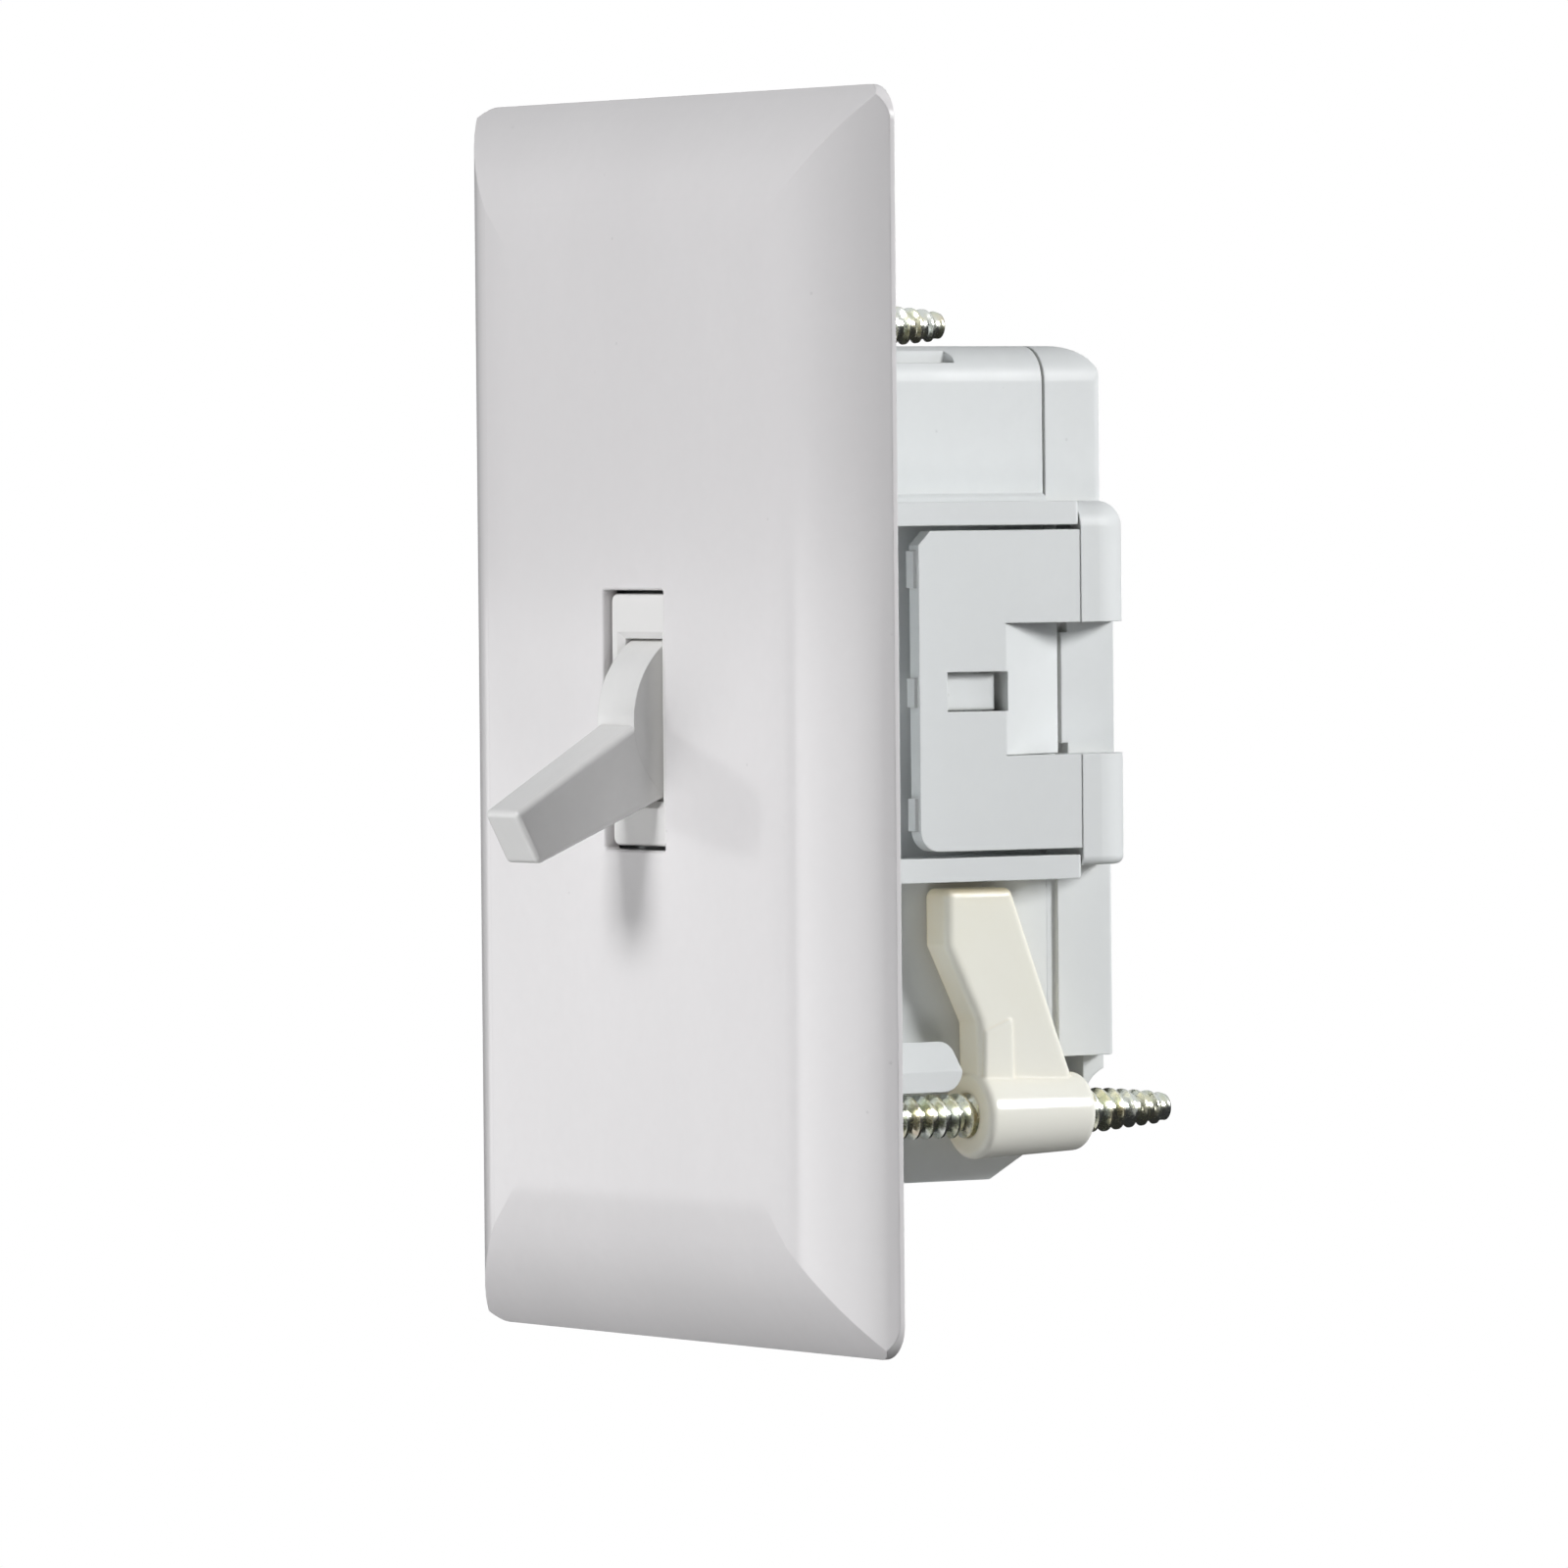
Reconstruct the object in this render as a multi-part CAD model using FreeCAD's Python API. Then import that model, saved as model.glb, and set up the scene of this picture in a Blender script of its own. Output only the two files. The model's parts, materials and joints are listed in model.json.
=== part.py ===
"""Self-contained toggle wall switch with a clip-on plate and swing-out wall clamps.

Millimetres. +X is to the right seen from the front, +Y goes into the wall, +Z is up.
The origin is the centre of the cover plate on the wall plane. The toggle is down (off).
Features that repeat at the back are placed by a half turn about Y, which swaps left and
right and top and bottom together.
"""
import math
import os

import FreeCAD
import Part
from FreeCAD import Vector

X_AXIS = Vector(1, 0, 0)
Y_AXIS = Vector(0, 1, 0)
Z_AXIS = Vector(0, 0, 1)
CENTRE = Vector(0, 0, 0)

# Cover plate: 2 3/4 in by 4 1/2 in, with the standard toggle opening.
PLATE_HALF_W = 69.85 / 2
PLATE_HALF_H = 114.3 / 2
PLATE_FRONT_Y = -6.1
PLATE_WALL = 1.6
PLATE_CORNER_R = 3.2
BEVEL_INSET = 9.75
BEVEL_SAGITTA = 0.74
RIM_Y = -0.5
OPENING_HALF_W = 5.15
OPENING_HALF_H = 11.9

# Housing: flange at the front, box behind it, cable tray at the foot.
FLANGE_HALF_W = 27.0
FLANGE_HALF_H = 47.5
FLANGE_FRONT_Y = -2.0
NECK_HALF_W = 4.85
NECK_HALF_H = 11.55
NECK_FRONT_Y = -5.35
SLOT_HALF_W = 3.3
SLOT_HALF_H = 7.45
CHEEK_THICK = 1.5
BOX_HALF_W = 15.8
BOX_TOP_Z = 34.0
BOX_FOOT_Z = -31.5
BOX_CORNER_R = 3.3
WALL = 1.7
SEAM_Y = 28.7
TRAY_HALF_W = 13.2
TRAY_FOOT_Z = -42.7
TRAY_BACK_Y = 29.4
TRAY_CHAMFER_Y = 5.5
TRAY_CHAMFER_Z = 3.1

# Side ribs and latch arms. The two ribs of the right side; the left side is their half turn.
SIDE_X = 21.8
UPPER_RIB_Z = (17.55, 19.7)
LOWER_RIB_Z = (-14.9, -12.7)

# Rear cover.
COVER_BACK_Y = 35.5
COVER_WALL = 1.6
SEAM_GAP = 0.3
LOWER_FRONT_Y = 30.0
LOWER_BACK_Y = 36.2
CAP_TOP_R = 4.0
LIP_HALF_W = 14.0
LINING_INSET = 0.45
BLOCK_GAP = 0.04
ARM_Z = (-12.1, 17.1)
ARM_FRONT_Y = 10.9
ARM_THICK = 1.5
BLOCK_Z = (-13.7, 19.7)
BLOCK_EDGE_R = 4.6
BLOCK_TOP_R = 2.3
BLOCK_FOOT_R = 0.8
NOTCH_Z = (-3.5, 8.6)
NOTCH_FRONT_Y = 20.4
NOTCH_WALL_X = 17.3
WINDOW_Y = (13.97, 20.75)
WINDOW_Z = (0.6, 4.2)
LUG_BACK_Y = 20.0
LUG_RECESS = 1.2
RAMP_BACK_Y = 29.0
NOTCH_SEAM_Y = 29.55

# Toggle, about a pin along X.
PIVOT_Y = 0.94
REST_ANGLE = 27.5
DRUM_R = 8.94
DRUM_GAP = 0.26
LEVER_HALF_W = 3.13
LEVER_TIP_HALF_W = 2.8
LEVER_TIP = 22.9
LEVER_ROOT_HALF = 4.15
LEVER_TIP_HALF = 2.7
PIN_R = 1.0
RUNNING_GAP = 0.05
PLUNGER_TIP = 8.3

# Contact rocker, about a second pin along X.
ROCKER_Y = 12.5
ROCKER_HALF_W = 3.05
ROCKER_REST_TILT = 9.0
CONTACT_Z = -10.5

# Screws and their clamps. The lower one is on the right; the upper one is its half turn.
SCREW_X = 18.2
SCREW_Z = -36.4
SCREW_R = 2.05
SCREW_CORE_R = 1.5
SCREW_PITCH = 1.41
SCREW_TIP_Y = 40.0
SCREW_TAPER_Y = 34.0
SCREW_HOLE_R = 2.35
HEAD_R = 3.6
CLAMP_BARREL_Y = (18.1, 30.2)
CLAMP_FRONT_R = 4.1
CLAMP_BACK_R = 3.6
CLAMP_ARM_HALF_W = 2.0


def box(x, y, z):
    """A box from three (low, high) pairs."""
    return Part.makeBox(x[1] - x[0], y[1] - y[0], z[1] - z[0], Vector(x[0], y[0], z[0]))


def rod_x(radius, x, y, z):
    """A cylinder along X over the span x, centred at y, z."""
    return Part.makeCylinder(radius, x[1] - x[0], Vector(x[0], y, z), X_AXIS)


def rod_y(radius, y, x=0.0, z=0.0):
    """A cylinder along Y over the span y, centred at x, z."""
    return Part.makeCylinder(radius, y[1] - y[0], Vector(x, y[0], z), Y_AXIS)


def prism(points, along):
    """A closed polygon of points, extruded by a vector."""
    wire = Part.makePolygon(points + points[:1])
    return Part.Face(wire).extrude(along)


def prism_x(outline, x):
    """An outline of (y, z) points, extruded along X over the span x."""
    return prism([Vector(x[0], y, z) for y, z in outline], X_AXIS * (x[1] - x[0]))


def prism_y(outline, y):
    """An outline of (x, z) points, extruded along Y over the span y."""
    return prism([Vector(x, y[0], z) for x, z in outline], Y_AXIS * (y[1] - y[0]))


def prism_z(outline, z):
    """An outline of (x, y) points, extruded along Z over the span z."""
    return prism([Vector(x, y, z[0]) for x, y in outline], Z_AXIS * (z[1] - z[0]))


def fuse(shapes):
    """One solid from several that touch or overlap."""
    return shapes[0].multiFuse(shapes[1:]).removeSplitter()


def half_turn(shape):
    """The shape turned half a turn about Y."""
    turned = shape.copy()
    turned.rotate(CENTRE, Y_AXIS, 180)
    return turned


def mirror_x(shape):
    """The shape mirrored left to right."""
    return shape.mirror(CENTRE, X_AXIS)


def edges_where(shape, test):
    """The edges whose two ends both pass the test."""
    found = []
    for edge in shape.Edges:
        ends = [vertex.Point for vertex in edge.Vertexes]
        if len(ends) == 2 and all(test(point) for point in ends):
            found.append(edge)
    return found


def circles(shape):
    """The shape's round edges."""
    return [edge for edge in shape.Edges if edge.Curve.TypeId == "Part::GeomCircle"]


def rounded(shape, radius, test):
    """The shape with the edges that pass the test filleted."""
    return shape.makeFillet(radius, edges_where(shape, test))


def near(value, target):
    """Whether two coordinates are the same."""
    return abs(value - target) < 1e-4


def rounded_slab(half_w, half_h, y, radius):
    """A slab centred on Y with its four corners rounded."""
    slab = box((-half_w, half_w), y, (-half_h, half_h))
    corners = [edge for edge in slab.Edges if near(abs(edge.tangentAt(edge.FirstParameter).y), 1)]
    return slab.makeFillet(radius, corners)


def annulus(outer_r, inner_r, y, x, z):
    """A ring along Y."""
    return rod_y(outer_r, y, x, z).cut(rod_y(inner_r, (y[0] - 1, y[1] + 1), x, z))


def tilted(shape, angle, y=PIVOT_Y):
    """The shape turned about the line along X through y, z = 0; positive lifts the back."""
    turned = shape.copy()
    turned.rotate(Vector(0, y, 0), X_AXIS, angle)
    return turned


# ---------------------------------------------------------------- cover plate

def plate_section(half, to_point):
    """A face with the plate's outer section; to_point places a (side, y) pair in space.

    Each side is one shallow arc from the rim up to the crease round the flat front.
    """
    foot = (half, 0.0)
    rim = (half, RIM_Y)
    crease = (half - BEVEL_INSET, PLATE_FRONT_Y)
    run = crease[0] - rim[0]
    rise = crease[1] - rim[1]
    lift = BEVEL_SAGITTA / math.hypot(run, rise)
    middle = (rim[0] + run / 2 - rise * lift, rim[1] + rise / 2 + run * lift)

    def at(pair, side):
        return to_point(side * pair[0], pair[1])

    edges = [Part.makeLine(at(foot, -1), at(foot, 1)), Part.makeLine(at(crease, 1), at(crease, -1))]
    for side in (1, -1):
        edges.append(Part.makeLine(at(foot, side), at(rim, side)))
        edges.append(Part.Arc(at(rim, side), at(middle, side), at(crease, side)).toShape())
    return Part.Face(Part.Wire(Part.__sortEdges__(edges)))


def mitred_shell_body():
    """The plate's outside: two crossed bevelled bars, which meet in mitred corners."""
    upright = plate_section(PLATE_HALF_W, lambda s, y: Vector(s, y, -PLATE_HALF_H))
    level = plate_section(PLATE_HALF_H, lambda s, y: Vector(-PLATE_HALF_W, y, s))
    body = upright.extrude(Z_AXIS * 2 * PLATE_HALF_H)
    body = body.common(level.extrude(X_AXIS * 2 * PLATE_HALF_W))
    outline = rounded_slab(PLATE_HALF_W, PLATE_HALF_H, (PLATE_FRONT_Y - 1, 1), PLATE_CORNER_R)
    return body.common(outline)


def plate_hollow():
    """The space inside the plate, one wall thickness in from its outside."""
    front = PLATE_FRONT_Y + PLATE_WALL
    depth = ((0, 1.0), (0, -0.3), (3.4, -2.3), (7.6, front))

    def outline(half):
        right = [(half - PLATE_WALL - inset, y) for inset, y in depth]
        left = [(-side, y) for side, y in reversed(right)]
        return right + left

    upright = prism_z(outline(PLATE_HALF_W), (-PLATE_HALF_H, PLATE_HALF_H))
    level = prism_x([(y, side) for side, y in outline(PLATE_HALF_H)], (-PLATE_HALF_W, PLATE_HALF_W))
    return upright.common(level)


def cover_plate():
    """The clip-on plate, with four hooks that catch the flange's ends."""
    plate = mitred_shell_body().cut(plate_hollow())
    opening = rounded_slab(OPENING_HALF_W, OPENING_HALF_H, (PLATE_FRONT_Y - 1, 0), 0.3)
    plate = plate.cut(opening)
    plate = rounded(plate, 0.3, lambda p: near(p.y, PLATE_FRONT_Y) and abs(p.z) < 12.5 and abs(p.x) < 6)
    inside = PLATE_FRONT_Y + PLATE_WALL - 0.2
    hooks = []
    for x in (-16.0, 8.0):
        arm = box((x, x + 8), (inside, -0.3), (FLANGE_HALF_H, FLANGE_HALF_H + 1.2))
        barb = box((x, x + 8), (-0.9, -0.3), (FLANGE_HALF_H - 0.8, FLANGE_HALF_H))
        hook = arm.fuse(barb)
        hooks.append(hook)
        hooks.append(half_turn(hook))
    return fuse([plate] + hooks)


# ---------------------------------------------------------------- front housing

def toggle_chamber():
    """The space that the toggle tips in, with a chamfered slot at the front."""
    slot = box((-SLOT_HALF_W, SLOT_HALF_W), (NECK_FRONT_Y - 1, PIVOT_Y), (-SLOT_HALF_H, SLOT_HALF_H))
    chamfer = 0.6
    mouth = Part.makeLoft([
        Part.makePolygon([Vector(x * (SLOT_HALF_W + grow), y, z * (SLOT_HALF_H + grow))
                          for x, z in ((1, 1), (-1, 1), (-1, -1), (1, -1), (1, 1))])
        for grow, y in ((chamfer + 0.1, NECK_FRONT_Y - 0.1), (0.0, NECK_FRONT_Y + chamfer))], True)
    drum = rod_x(DRUM_R + DRUM_GAP, (-SLOT_HALF_W, SLOT_HALF_W), PIVOT_Y, 0)
    back = box((-SLOT_HALF_W, SLOT_HALF_W), (PIVOT_Y, SEAM_Y), (-DRUM_R - DRUM_GAP, DRUM_R + DRUM_GAP))
    return fuse([slot, drum, back]).fuse(mouth)


def housing_box():
    """The box, its cable tray and the flange, before hollowing."""
    shell = box((-BOX_HALF_W, BOX_HALF_W), (-1, SEAM_Y), (BOX_FOOT_Z, BOX_TOP_Z))
    shell = rounded(shell, BOX_CORNER_R, lambda p: near(p.z, BOX_TOP_Z) and p.x > 0)
    shell = shell.common(mirror_x(shell))
    tray = tray_solid(0.0, -1.0, BOX_FOOT_Z)
    flange = rounded_slab(FLANGE_HALF_W, FLANGE_HALF_H, (FLANGE_FRONT_Y, 0), 3.0)
    return shell, tray, flange


def tray_solid(inset, front, back_top_z):
    """The cable tray at the foot, shrunk by inset; its back lower edge is chamfered."""
    low = TRAY_FOOT_Z + inset
    back = TRAY_BACK_Y - inset
    outline = [(front, BOX_FOOT_Z + 4), (front, low), (back - TRAY_CHAMFER_Y, low),
               (back, low + TRAY_CHAMFER_Z), (back, back_top_z)]
    return prism_x(outline, (-TRAY_HALF_W + inset, TRAY_HALF_W - inset))


def side_ribs():
    """The two ribs that guard the latch arm on the right side."""
    ribs = []
    for low, high in (UPPER_RIB_Z, LOWER_RIB_Z):
        rib = box((BOX_HALF_W - 1, SIDE_X), (-1, SEAM_Y), (low, high))
        ribs.append(rounded(rib, 0.45, lambda p: p.x > SIDE_X - 0.1 and p.y > 0 or near(p.y, SEAM_Y)))
    top = UPPER_RIB_Z[1]
    fillet = prism_y([(BOX_HALF_W - 0.5, top - 0.5), (BOX_HALF_W + 1.1, top - 0.5),
                      (BOX_HALF_W + 0.45, top + 0.45), (BOX_HALF_W - 0.5, top + 1.1)], (-1, SEAM_Y))
    return ribs + [fillet]


def latch_lug():
    """The lug that fills the latch arm's window, and the ramp that leads the arm over it."""
    lug = box((BOX_HALF_W - 1, SIDE_X - LUG_RECESS), (WINDOW_Y[0] + 0.1, LUG_BACK_Y),
              (WINDOW_Z[0] + 0.1, WINDOW_Z[1] - 0.1))
    lug = rounded(lug, 0.25, lambda p: near(p.x, SIDE_X - LUG_RECESS))
    inner = SIDE_X - ARM_THICK - 0.25
    outline = [(BOX_HALF_W - 1, NOTCH_FRONT_Y - 1.0), (inner, NOTCH_FRONT_Y - 1.0), (inner, NOTCH_FRONT_Y),
               (NOTCH_WALL_X + 0.2, RAMP_BACK_Y), (BOX_HALF_W + 0.6, RAMP_BACK_Y),
               (BOX_HALF_W + 0.2, SEAM_Y), (BOX_HALF_W - 1, SEAM_Y)]
    ramp = prism_z(outline, (NOTCH_Z[0] - 0.8, NOTCH_Z[1] + 0.8))
    crest_y = NOTCH_FRONT_Y + 0.05
    crest = prism_z([(BOX_HALF_W, crest_y), (SIDE_X - 0.1, crest_y), (NOTCH_WALL_X + 0.2, RAMP_BACK_Y),
                     (BOX_HALF_W, RAMP_BACK_Y)], (NOTCH_Z[0] + 0.05, NOTCH_Z[1] - 0.05))
    ramp = fuse([ramp, crest])
    ramp = ramp.cut(box((SIDE_X - 2.6, SIDE_X), (NOTCH_FRONT_Y - 1.1, WINDOW_Y[1]), WINDOW_Z))
    for z in ((NOTCH_Z[1] - 0.05, NOTCH_Z[1] + 1), (NOTCH_Z[0] - 1, NOTCH_Z[0] + 0.05)):
        ramp = ramp.cut(box((BOX_HALF_W, SIDE_X), (SEAM_Y - 0.1, RAMP_BACK_Y + 1), z))
    return [lug, ramp]


def stop_lug():
    """The rounded lug beside the lower clamp that stops the plate and keeps the clamp's arm in line."""
    low, high = -33.9, -29.4
    nose = 14.3
    lug = box((20.75, 23.2), (-1, nose), (low, high))
    lug = rounded(lug, 2.0, lambda p: near(p.y, nose) and near(p.z, low))
    lug = rounded(lug, 1.0, lambda p: near(p.y, nose) and near(p.z, high))
    wedge = [(24, high + 1), (24, high - 2.6), (23.2, high - 2.6), (20.8, high + 0.2), (20.8, high + 1)]
    slope = prism_y(wedge, (-2, nose + 1))
    return lug.cut(slope).cut(rod_y(CLAMP_FRONT_R + 0.45, (0, nose + 1), SCREW_X, SCREW_Z))


def front_housing():
    """The main moulding: flange, neck, box, ribs, lugs, pin cheeks, carrier posts and cable tray."""
    shell, tray, flange = housing_box()
    neck = rounded_slab(NECK_HALF_W, NECK_HALF_H, (NECK_FRONT_Y, 0), 0.8)
    neck = rounded(neck, 0.3, lambda p: near(p.y, NECK_FRONT_Y))
    half = BOX_HALF_W - WALL
    hollow = box((-half, half), (0, SEAM_Y + 5), (BOX_FOOT_Z + WALL, BOX_TOP_Z - WALL))
    hollow = hollow.common(rounded_slab(half, BOX_TOP_Z - WALL, (-1, SEAM_Y + 6), 1.8))
    tray_hollow = tray_solid(WALL, 1.0, BOX_FOOT_Z + 4)
    body = fuse([shell, tray, flange, neck]).cut(fuse([hollow, tray_hollow]))
    cheek = box((SLOT_HALF_W, SLOT_HALF_W + CHEEK_THICK), (-0.5, 15.5), (-12.0, 12.0))
    posts = [rod_y(1.5, (-0.5, 17.4), x, z) for x in (-11.5, 11.5) for z in (-19.0, 24.0)]
    side = side_ribs() + latch_lug()
    lug = stop_lug()
    parts = [body, cheek, mirror_x(cheek), lug, half_turn(lug)] + posts + side + [half_turn(s) for s in side]
    body = fuse(parts)
    for cutter in housing_cutters():
        body = body.cut(cutter)
    return body


def housing_cutters():
    """What is taken out of the housing: chamber, pin bores, screw holes, clip and grip recesses."""
    pin_span = (-SLOT_HALF_W - CHEEK_THICK, SLOT_HALF_W + CHEEK_THICK)
    recess = prism_z([(14.2, -1), (17, -1), (17, 19.4), (14.9, 19.4), (14.2, 18.9)], (32.45, 35))
    cutters = [toggle_chamber(), recess, mirror_x(recess)]
    cutters.append(rod_x(PIN_R + 0.005, pin_span, PIVOT_Y, 0))
    cutters.append(rod_x(PIN_R + 0.005, pin_span, ROCKER_Y, 0))
    hole = rod_y(SCREW_HOLE_R, (FLANGE_FRONT_Y - 1, 1), SCREW_X, SCREW_Z)
    cutters += [hole, half_turn(hole)]
    for x in (-16.3, 7.7):
        catch = box((x, x + 8.6), (-1.0, 1), (FLANGE_HALF_H - 1.1, FLANGE_HALF_H + 1))
        cutters += [catch, half_turn(catch)]
    cutters.append(box((-6.0, 6.0), (TRAY_BACK_Y - 0.8, TRAY_BACK_Y + 1), (-38.5, -33.5)))
    return cutters


# ---------------------------------------------------------------- rear cover

def cap_solid(half_w, z, y, radius):
    """A cap with its back edges rounded and its top two corners rounded more."""
    cap = box((-half_w, half_w), y, z)
    cap = rounded(cap, BOX_CORNER_R, lambda p: near(p.z, z[1]) and p.x > 0)
    cap = cap.common(mirror_x(cap))
    round_top = prism_x([(y[0] - 1, z[0] - 1), (y[0] - 1, z[1] + 1), (y[1], z[1] + 1), (y[1], z[0] - 1)],
                        (-half_w - 1, half_w + 1))
    round_top = rounded(round_top.common(box((-half_w - 1, half_w + 1), (y[0] - 2, y[1]), (z[0] - 1, z[1]))),
                        CAP_TOP_R, lambda p: near(p.y, y[1]) and near(p.z, z[1]))
    round_side = box((-half_w, half_w), (y[0] - 2, y[1]), (z[0] - 1, z[1] + 1))
    round_side = rounded(round_side, radius, lambda p: near(p.y, y[1]) and near(abs(p.x), half_w))
    return cap.common(round_top).common(round_side)


def side_block():
    """The right side's block behind the ribs, with a large rounding on its upright back edge."""
    front = SEAM_Y + BLOCK_GAP
    outer = SIDE_X + 0.08
    back = COVER_BACK_Y - 0.1
    low, high = BLOCK_Z
    block = box((BOX_HALF_W - 3, outer), (front, back), BLOCK_Z)
    block = rounded(block, BLOCK_EDGE_R, lambda p: near(p.x, outer) and near(p.y, back))
    for radius, level in ((BLOCK_TOP_R, high), (BLOCK_FOOT_R, low)):
        block = rounded(block, radius, lambda p: near(p.z, level) and (near(p.x, outer) or near(p.y, back)))
    pockets = [box((NOTCH_WALL_X + 0.6, SIDE_X - COVER_WALL), (SEAM_Y, back - 3.4), z)
               for z in ((NOTCH_Z[1] + 1.6, high - 1.8), (low + 1.8, NOTCH_Z[0] - 1.6))]
    return block.cut(pockets[0]).cut(pockets[1])


def latch_arm():
    """The right side's latch arm, with its window and three small pads on the leading edge."""
    x = (SIDE_X - ARM_THICK, SIDE_X)
    arm = box(x, (ARM_FRONT_Y, SEAM_Y + 1.5), ARM_Z)
    arm = rounded(arm, 2.0, lambda p: near(p.y, ARM_FRONT_Y) and near(p.z, ARM_Z[0]))
    corner = ARM_Z[1]
    arm = arm.cut(prism_x([(ARM_FRONT_Y - 1, corner + 1), (ARM_FRONT_Y - 1, corner - 1.3),
                           (ARM_FRONT_Y, corner - 1.3), (ARM_FRONT_Y + 1.3, corner),
                           (ARM_FRONT_Y + 1.3, corner + 1)], (x[0] - 1, x[1] + 1)))
    pads = [box((x[0], x[1] - 0.35), (ARM_FRONT_Y - 0.35, ARM_FRONT_Y + 1), z)
            for z in ((11.9, 15.3), (1.05, 3.7), (-10.2, -7.2))]
    arm = fuse([arm] + pads)
    return arm.cut(box((x[0] - 1, x[1] + 1), WINDOW_Y, WINDOW_Z))


def notch():
    """What is cut from the arm and block so that a thumb can spread the latch."""
    space = box((NOTCH_WALL_X, SIDE_X + 1), (NOTCH_FRONT_Y, COVER_BACK_Y + 1), NOTCH_Z)
    gap = box((BOX_HALF_W, SIDE_X), (SEAM_Y, NOTCH_SEAM_Y), NOTCH_Z)
    ends = [box((BOX_HALF_W + 0.4, SIDE_X), (SEAM_Y, NOTCH_SEAM_Y + 0.7), (z, z + 0.95))
            for z in (NOTCH_Z[0], NOTCH_Z[1] - 0.95)]
    return fuse([space, gap] + ends)


def cable_lip():
    """The tongue at the cover's foot that guides the cable in."""
    back = LOWER_BACK_Y
    inner = COVER_BACK_Y - COVER_WALL
    tip, top = -34.6, -30.0
    corners = [Vector(0, inner, tip), Vector(0, inner, top), Vector(0, back, top), Vector(0, back, -32.8)]
    edge = Vector(0, inner + 0.3, tip)
    profile = [Part.makeLine(first, second) for first, second in zip(corners, corners[1:])]
    profile.append(Part.Arc(corners[3], Vector(0, back - 0.95, -33.35), edge).toShape())
    profile.append(Part.makeLine(edge, corners[0]))
    tongue = Part.Face(Part.Wire(Part.__sortEdges__(profile))).extrude(X_AXIS * 2 * LIP_HALF_W)
    tongue.translate(Vector(-LIP_HALF_W, 0, 0))
    return tongue


def rear_cover():
    """The latched cap: a shallow shell, two side blocks, two latch arms and the cable lip."""
    front = SEAM_Y + SEAM_GAP
    cap = cap_solid(BOX_HALF_W, (BOX_FOOT_Z, BOX_TOP_Z), (front, COVER_BACK_Y), 1.0)
    step = box((-BOX_HALF_W - 1, BOX_HALF_W + 1), (front - 1, LOWER_FRONT_Y),
               (BOX_FOOT_Z - 1, LOWER_RIB_Z[0] + 1.0))
    cap = cap.cut(step)
    sides = [side_block(), latch_arm()]
    shell = fuse([cap] + sides + [half_turn(side) for side in sides])
    shell = shell.cut(notch()).cut(half_turn(notch()))
    half = BOX_HALF_W - COVER_WALL
    top = BOX_TOP_Z - COVER_WALL
    back = COVER_BACK_Y - COVER_WALL
    hollow = box((-half, half), (front - 5, back), (BOX_FOOT_Z - 5, top))
    hollow = rounded(hollow, 1.8, lambda p: near(p.z, top) and near(p.y, back))
    lining = box((-BOX_HALF_W + LINING_INSET, BOX_HALF_W - LINING_INSET), (front, LOWER_FRONT_Y + 1),
                 (BOX_FOOT_Z + 0.6, LOWER_RIB_Z[0]))
    foot = box((-BOX_HALF_W, BOX_HALF_W), (back - 0.5, LOWER_BACK_Y), (BOX_FOOT_Z, BLOCK_Z[0] + 1.0))
    foot = rounded(foot, 0.5, lambda p: near(p.y, LOWER_BACK_Y) and near(abs(p.x), BOX_HALF_W))
    shell = fuse([shell, lining, foot, cable_lip()])
    return shell.cut(hollow)


# ---------------------------------------------------------------- toggle

def toggle_lever():
    """The lever, its cam drum, its hub and the spring barrel behind the pin."""
    reach = -LEVER_TIP + PIVOT_Y
    side = prism_x([(PIVOT_Y - 2, LEVER_ROOT_HALF), (reach, LEVER_TIP_HALF), (reach, -LEVER_TIP_HALF),
                    (PIVOT_Y - 2, -LEVER_ROOT_HALF)], (-LEVER_HALF_W, LEVER_HALF_W))
    right = [(LEVER_HALF_W, PIVOT_Y - 2), (LEVER_HALF_W, PIVOT_Y - 8), (LEVER_TIP_HALF_W, reach - 0.01)]
    left = [(-x, y) for x, y in reversed(right)]
    plan = prism_z(right + left, (-10, 10))
    lever = side.common(plan)
    lever = rounded(lever, 0.6, lambda p: p.y < PIVOT_Y - 7.9)
    span = (-LEVER_HALF_W, LEVER_HALF_W)
    drum = rod_x(DRUM_R, span, PIVOT_Y, 0)
    drum = drum.common(box(span, (PIVOT_Y - 20, PIVOT_Y - 0.8), (-20, 20)))
    hub = rod_x(3.2, span, PIVOT_Y, 0)
    barrel = rod_y(2.6, (PIVOT_Y, PIVOT_Y + 6.9))
    toggle = fuse([lever, drum, hub, barrel])
    toggle = toggle.cut(rod_y(1.75, (PIVOT_Y + 1.6, PIVOT_Y + 8)))
    toggle = toggle.cut(rod_x(PIN_R + RUNNING_GAP, (-4, 4), PIVOT_Y, 0))
    return tilted(toggle, REST_ANGLE)


def toggle_spring():
    """The coil spring inside the toggle's barrel."""
    wire_r = 0.22
    coil_r = 1.3
    length = 3.2
    helix = Part.makeHelix(0.64, length, coil_r)
    ring = Part.Wire(Part.Circle(Vector(coil_r, 0, 0), Y_AXIS, wire_r).toShape())
    coil = Part.Wire(helix).makePipeShell([ring], True, True)
    coil.rotate(CENTRE, X_AXIS, -90)
    coil.translate(Vector(0, PIVOT_Y + 1.85, 0))
    return tilted(coil, REST_ANGLE)


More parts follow.
